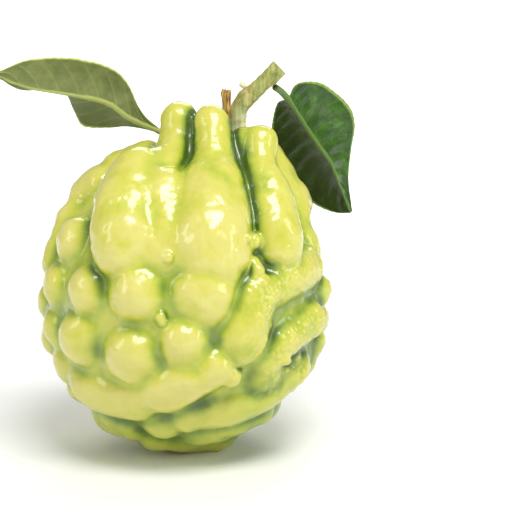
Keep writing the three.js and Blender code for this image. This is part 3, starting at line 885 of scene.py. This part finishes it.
relief = node(
    tree, "ShaderNodeBump", {"Height": fibre, "Strength": 0.7, "Distance": 0.2 * MM},
).outputs["Normal"]
tree.links.new(relief, shader.inputs["Normal"])
shader.inputs["Roughness"].default_value = 0.75
stub.data.materials.append(dry_bark)
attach(stub, "root")
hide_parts("dried_stub")

# %% Bud
BUD_AT, BUD_RADIUS, BUD_LENGTH = (16.2, 2.6, 102.0), 0.95, 1.5


def bud_radius(share, angle):
    outline = np.sqrt(np.clip(1 - (2 * share - 1) ** 2, 0, 1)) * (1.08 - 0.25 * share)
    scales = 0.08 * np.sin(3 * angle + 7 * share)
    return BUD_RADIUS * np.maximum(outline + scales * outline, 0.04)


lean = np.array([-0.62, 0.0, 0.78])
bud_path = [tuple(np.array(BUD_AT) + lean * BUD_LENGTH * t) for t in (-0.7, 0, 0.7)]
bud = mesh_object("bud_scales", *tube(bud_path, bud_radius, 36, 36)[:2])
face_outwards(bud)
bud.data.materials.append(green_bark)
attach(bud, "root")
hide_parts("bud")

# %% Calyx
SEPALS = 5
CALYX_RADIUS, CALYX_HEIGHT, CALYX_FOOT = 3.7, 1.4, 86.8


def calyx_radius(share, angle):
    outline = np.interp(share, [0, 0.12, 0.4, 0.7, 1], [0.6, 0.92, 1.0, 0.85, 0.62])
    star = 1 + 0.14 * np.cos(SEPALS * angle) * outline
    return CALYX_RADIUS * outline * star


foot = [(SEAT_CENTRE[0], SEAT_CENTRE[1], CALYX_FOOT + CALYX_HEIGHT * t) for t in (0, 0.5, 1)]
calyx = mesh_object("calyx_sepals", *tube(foot, calyx_radius, 24, 80)[:2])
face_outwards(calyx)
sepal_skin, tree, shader = new_material("green_sepal_skin")
place = node(tree, "ShaderNodeTexCoord").outputs["Object"]
vein = node(tree, "ShaderNodeTexNoise", {"Vector": place, "Scale": 0.9 / MM, "Detail": 5.0}).outputs["Fac"]
tint = node(
    tree, "ShaderNodeValToRGB", {"Fac": vein}, stops=[(0.35, "#6a7a2c"), (0.6, "#a2a95a")],
).outputs["Color"]
tree.links.new(tint, shader.inputs["Base Color"])
relief = node(
    tree, "ShaderNodeBump", {"Height": vein, "Strength": 0.5, "Distance": 0.2 * MM},
).outputs["Normal"]
tree.links.new(relief, shader.inputs["Normal"])
shader.inputs["Roughness"].default_value = 0.6
calyx.data.materials.append(sepal_skin)
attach(calyx, "root")
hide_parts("calyx")

# %% [markdown]
# ## Leaves
# A citrus leaf is a tough sheet with a midrib, side veins that curve towards the margin, and faint scallops
# on its edge. It has no straight line in it, so it isn't a flat plane with a picture: the midrib and the
# two margins are curves in space, the blade is stretched between them, and veins and the quilting between
# them are real relief. Petiole and blade are one closed surface, because they grew as one.

# %% Leaf sizes and outlines
LEFT_LEAF = {
    "petiole": [(11.6, 6.4, 91.4), (5, 9.8, 91.2), (-1, 10.6, 89), (-6, 9.6, 87.4)],
    "midrib": [
        (-6, 9.6, 87.4), (-15.4, 9, 91.6), (-21.6, 8.5, 96), (-30, 6.5, 98.3), (-42.8, 3, 101),
        (-51.7, 0, 105.2),
    ],
    "upper": [
        (-6.4, 9.6, 88.2), (-11.5, 8.5, 93.1), (-15.7, 7, 101.8), (-19.9, 5.5, 106.2), (-27.4, 3.5, 108.8),
        (-33.6, 2, 109.7), (-42.8, 0.5, 109.1), (-48.7, -0.5, 106.8), (-51.9, 0, 105.6),
    ],
    "lower": [
        (-6.4, 10.4, 87.2), (-14.7, 13, 88.7), (-21.4, 15, 88.1), (-27.0, 15, 88.1), (-29.7, 14, 89.4),
        (-31.5, 12.5, 94.1), (-32.7, 11, 98.0), (-35.3, 9.5, 100.5), (-40.6, 7, 100.5), (-45.9, 4, 100.6),
        (-51.4, 0.8, 104.7),
    ],
    "bulge": (0.08, 0.1), "veins": 9, "quilt": 0.22, "rib": (0.15, 0.75), "turn": 1,
}
RIGHT_LEAF = {
    "petiole": [(25.2, 5.6, 100.9), (27, 8.4, 99.2), (28.8, 10, 97.1)],
    "midrib": [
        (
            28.8, 10, 97.1,
        ), (31.6, 13, 92.5), (34.4, 16, 87.8), (38.1, 18, 82), (41.4, 20, 77), (44, 22, 70.5),
        (47.3, 24, 62.1),
    ],
    "upper": [
        (29.3, 10.8, 97.4), (30.6, 14, 100.2), (33.6, 17, 101), (38.1, 21, 100.2), (41.4, 24, 97.9),
        (
            45.1, 26, 94.6,
        ), (47.6, 27, 90.9), (48.4, 28, 86.7), (47.6, 28, 81), (47, 27, 75.5), (46.8, 26, 70),
        (47.5, 24.2, 62.5),
    ],
    "lower": [
        (28.2, 10.8, 96.7), (25.8, 15, 95), (24.4, 20.5, 88), (24.6, 25.5, 80), (26.6, 29.5, 72),
        (30.5, 31, 67.8), (34.4, 31, 65), (38.4, 29, 62.8), (42.6, 27, 61.5), (46.9, 24.3, 61.8),
    ],
    "bulge": (-0.1, -0.1), "veins": 10, "quilt": 0.5, "rib": (0.75, 0.45), "turn": 1,
}
LEAF_THICKNESS = 0.5
PETIOLE_RADIUS = 0.95
BLADE_ROWS = 150
PETIOLE_ROWS = 30
HALF_COLUMNS = 26

# %% Leaf mesh
def leaf_object(name, leaf):
    """One closed surface: rows along petiole and midrib, columns from margin to margin, above and below."""
    middle, _ = curve(leaf["midrib"], BLADE_ROWS)
    stem, _ = curve(leaf["petiole"], PETIOLE_ROWS)
    margins = [curve(leaf[key], BLADE_ROWS)[0] - middle for key in ("lower", "upper")]
    rows = np.concatenate([stem[:-1], middle])
    lead = len(stem) - 1
    tangent = np.gradient(rows, axis=0)
    tangent /= np.linalg.norm(tangent, axis=1)[:, None]
    s = np.clip((np.arange(len(rows)) - lead) / (BLADE_ROWS - 1), 0, 1)
    outs = []
    for half in (0, 1):
        out = np.concatenate([np.repeat(margins[half][:1], lead, axis=0), margins[half]])
        out = out - tangent * ((out * tangent).sum(1) * (s <= 0))[:, None]
        width = np.linalg.norm(out, axis=1)
        out = out / np.maximum(width, 1e-9)[:, None]
        scallop = 1 + 0.005 * np.sin(2 * np.pi * s * 26 + half)
        width = np.where(
            s <= 0, PETIOLE_RADIUS,
            np.maximum(width * scallop, np.interp(s, [0, 0.02, 0.97, 1], [0.95, 0.6, 0.35, 0.12])),
        )
        outs.append(out * width[:, None])
    u = np.linspace(-1, 1, 2 * HALF_COLUMNS + 1)
    t = np.abs(u) ** 1.5
    half_of = (u >= 0).astype(int)
    out = np.where(half_of[None, :, None] == 0, outs[0][:, None], outs[1][:, None])
    width = np.linalg.norm(out, axis=2)
    face = np.cross(
        np.broadcast_to(tangent[:, None], out.shape), out,
    ) * np.where(half_of, 1, -1)[None, :, None]
    bow = np.array(leaf["bulge"])[half_of][None, :] * 4 * t * (1 - t) * smooth_step(s, 0, 0.1)[:, None]
    sheet = rows[:, None] + out * t[None, :, None] + face * bow[..., None]
    # relief of the blade: quilting between the side veins, which lean towards the tip
    phase = (s[:, None] - 0.16 * t[None, :] ** 1.2) * leaf["veins"] + 0.35 * half_of[None, :]
    gap = np.abs(phase - np.round(phase))
    vein = np.exp(
        -(gap * width / 1.1) ** 2 * 6
    ) * smooth_step(s, 0.02, 0.12)[:, None] * (1 - smooth_step(t, 0.75, 1.0))[None, :]
    quilt = leaf["quilt"] * (
        smooth_step(gap, 0.0, 0.5) - 0.5
    ) * (4 * t * (1 - t))[None, :] * smooth_step(s, 0.02, 0.15)[:, None]
    across = np.gradient(sheet, axis=1)
    normal = np.cross(np.gradient(sheet, axis=0), across)
    normal /= np.maximum(np.linalg.norm(normal, axis=2), 1e-9)[..., None]
    flat = sheet.reshape(-1, 3)
    wave = (0.5 * noise_at(flat, 9.0, 4) + 0.12 * noise_at(flat, 3.0, 5)).reshape(sheet.shape[:2])
    wave *= (t ** 0.7)[None, :] * smooth_step(s, 0.02, 0.2)[:, None]
    sheet = sheet + normal * (quilt + wave)[..., None]
    # thickness: a thin blade that rounds off at the margin, and the midrib or petiole as a round bar in it
    from_rib = width * t[None, :]
    rib = np.interp(s, [0, 0.1, 0.6, 0.95, 1], [0.95, 0.85, 0.5, 0.2, 0.08])[:, None]
    bar = np.sqrt(np.clip(rib ** 2 - from_rib ** 2, 0, None))
    blade = LEAF_THICKNESS / 2 * np.sqrt(np.clip(1 - t ** 6, 0, 1))[None, :] * (s > 0)[:, None]
    ends = np.ones(len(rows))
    ends[-1] = 0.3
    rise_up, rise_down = leaf["rib"]
    share_up = np.where(
        s[:, None] <= 0, 1.0, rise_up + (1 - rise_up) * (1 - smooth_step(s, 0, 0.06))[:, None],
    )
    share_down = np.where(
        s[:, None] <= 0, 1.0, rise_down + (1 - rise_down) * (1 - smooth_step(s, 0, 0.06))[:, None],
    )
    above = np.maximum(blade - 0.05 * vein, bar * share_up) * ends[:, None]
    below = np.maximum(blade + 0.16 * vein * (s > 0)[:, None], bar * share_down) * ends[:, None]
    above[:, [0, -1]] = 0
    below[:, [0, -1]] = 0
    top, under = sheet + normal * above[..., None], sheet - normal * below[..., None]
    count, columns = top.shape[:2]
    p = np.concatenate([top.reshape(-1, 3), under.reshape(-1, 3)])
    at = lambda side, i, j: side * count * columns + i * columns + j
    faces = []
    for i in range(count - 1):
        for j in range(columns - 1):
            faces.append((at(0, i, j), at(0, i, j + 1), at(0, i + 1, j + 1), at(0, i + 1, j)))
            faces.append((at(1, i, j), at(1, i + 1, j), at(1, i + 1, j + 1), at(1, i, j + 1)))
    for i in (0, count - 1):
        for j in range(columns - 1):
            faces.append((at(0, i, j), at(1, i, j), at(1, i, j + 1), at(0, i, j + 1)))
    values = {
        "underside": np.repeat([0.0, 1.0], count * columns),
        "vein": np.tile(np.maximum(vein, 0).reshape(-1), 2),
        "rib": np.tile((from_rib < rib * 1.15).astype(float).reshape(-1), 2),
        "shaded_half": np.tile(
            np.broadcast_to(
                (1.0 - half_of)[None, :] * smooth_step(s, 0, 0.05)[:, None], vein.shape,
            ).reshape(-1),
            2,
        ),
        "margin": np.tile(np.broadcast_to(t[None, :], vein.shape).reshape(-1), 2),
        "blade": np.tile(np.broadcast_to(smooth_step(s, 0.0, 0.04)[:, None], vein.shape).reshape(-1), 2),
    }
    made = mesh_object(name, p, faces, values)
    work = bmesh.new()
    work.from_mesh(made.data)
    bmesh.ops.remove_doubles(work, verts=work.verts, dist=0.004 * MM)
    bmesh.ops.dissolve_degenerate(work, edges=work.edges, dist=0.002 * MM)
    bmesh.ops.recalc_face_normals(work, faces=work.faces)
    open_edges = sum(not e.is_manifold for e in work.edges)
    work.to_mesh(made.data)
    work.free()
    print(name, len(made.data.polygons), "faces,", open_edges, "open edges")
    return made


left_leaf = leaf_object("left_leaf_blade", LEFT_LEAF)
right_leaf = leaf_object("right_leaf_blade", RIGHT_LEAF)

# %% [markdown]
# ## Leaf skin
# The upper face has a thick cuticle and shines; the underside is matte and paler. Veins and margin are
# lighter than the blade. Both faces are one material that reads the values stored on the mesh.

# %% Leaf materials
def leaf_material(name, top_stops, under_stops, vein_colour, rim_colour, shaded_colour, gloss):
    made, tree, shader = new_material(name)
    place = node(tree, "ShaderNodeTexCoord").outputs["Object"]
    value = {
        k: node(tree, "ShaderNodeAttribute", attribute_name=k).outputs["Fac"] for k in (
            "underside", "vein", "rib", "margin", "blade", "shaded_half",
        )
    }
    blotch = node(
        tree, "ShaderNodeTexNoise",
        {"Vector": place, "Scale": 0.22 / MM, "Detail": 6.0, "Roughness": 0.65},
    ).outputs["Fac"]
    top = node(tree, "ShaderNodeValToRGB", {"Fac": blotch}, stops=top_stops).outputs["Color"]
    under = node(tree, "ShaderNodeValToRGB", {"Fac": blotch}, stops=under_stops).outputs["Color"]
    skin = node(
        tree, "ShaderNodeMix", {0: value["underside"], 6: top, 7: under}, data_type="RGBA",
    ).outputs[2]
    shaded = node(
        tree, "ShaderNodeMath", {0: value["shaded_half"], 1: 0.7}, operation="MULTIPLY",
    ).outputs[0]
    skin = node(tree, "ShaderNodeMix", {0: shaded, 6: skin, 7: shaded_colour}, data_type="RGBA").outputs[2]
    soft_vein = node(tree, "ShaderNodeMath", {0: value["vein"], 1: 0.35}, operation="MULTIPLY").outputs[0]
    skin = node(tree, "ShaderNodeMix", {0: soft_vein, 6: skin, 7: vein_colour}, data_type="RGBA").outputs[2]
    skin = node(
        tree, "ShaderNodeMix", {0: value["rib"], 6: skin, 7: vein_colour}, data_type="RGBA",
    ).outputs[2]
    rim = node(
        tree, "ShaderNodeMapRange",
        {"Value": value["margin"], "From Min": 0.93, "From Max": 0.985, "To Max": 0.8},
    ).outputs[0]
    rim = node(tree, "ShaderNodeMath", {0: rim, 1: value["blade"]}, operation="MULTIPLY").outputs[0]
    skin = node(tree, "ShaderNodeMix", {0: rim, 6: skin, 7: rim_colour}, data_type="RGBA").outputs[2]
    tree.links.new(skin, shader.inputs["Base Color"])
    shine = node(
        tree, "ShaderNodeMapRange", {"Value": value["underside"], "To Min": gloss, "To Max": 0.55},
    ).outputs[0]
    tree.links.new(shine, shader.inputs["Roughness"])
    net = node(
        tree, "ShaderNodeTexVoronoi", {"Vector": place, "Scale": 1.1 / MM}, feature="DISTANCE_TO_EDGE",
    ).outputs["Distance"]
    net = node(tree, "ShaderNodeMapRange", {"Value": net, "From Max": 0.12}).outputs[0]
    relief = node(
        tree, "ShaderNodeBump", {"Height": net, "Strength": 0.2, "Distance": 0.1 * MM},
    ).outputs["Normal"]
    tree.links.new(relief, shader.inputs["Normal"])
    shader.inputs["Specular IOR Level"].default_value = 0.32
    shader.inputs["Subsurface Weight"].default_value = 0.15
    shader.inputs["Subsurface Radius"].default_value = (0.4, 1.0, 0.15)
    shader.inputs["Subsurface Scale"].default_value = 0.8 * MM
    return made


pale_leaf = leaf_material(
    "citrus_leaf_pale_underside",
    [(0.35, "#5f7434"), (0.65, "#7d8f48")], [(0.3, "#5e6b3a"), (0.5, "#76814a"), (0.7, "#8b9058")],
    "#a3ab5e", "#dbe082", "#626f48", 0.4,
)
glossy_leaf = leaf_material(
    "citrus_leaf_glossy_cuticle",
    [(0.3, "#1f3b0a"), (0.5, "#2f5210"), (0.7, "#447018")], [(0.3, "#4c6336"), (0.7, "#6b8050")],
    "#5f7c36", "#a3bb62", "#2c3626", 0.22,
)
left_leaf.data.materials.append(pale_leaf)
right_leaf.data.materials.append(glossy_leaf)
for blade, plain in ((left_leaf, "left_leaf"), (right_leaf, "right_leaf")):
    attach(blade, "root")
    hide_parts(plain)
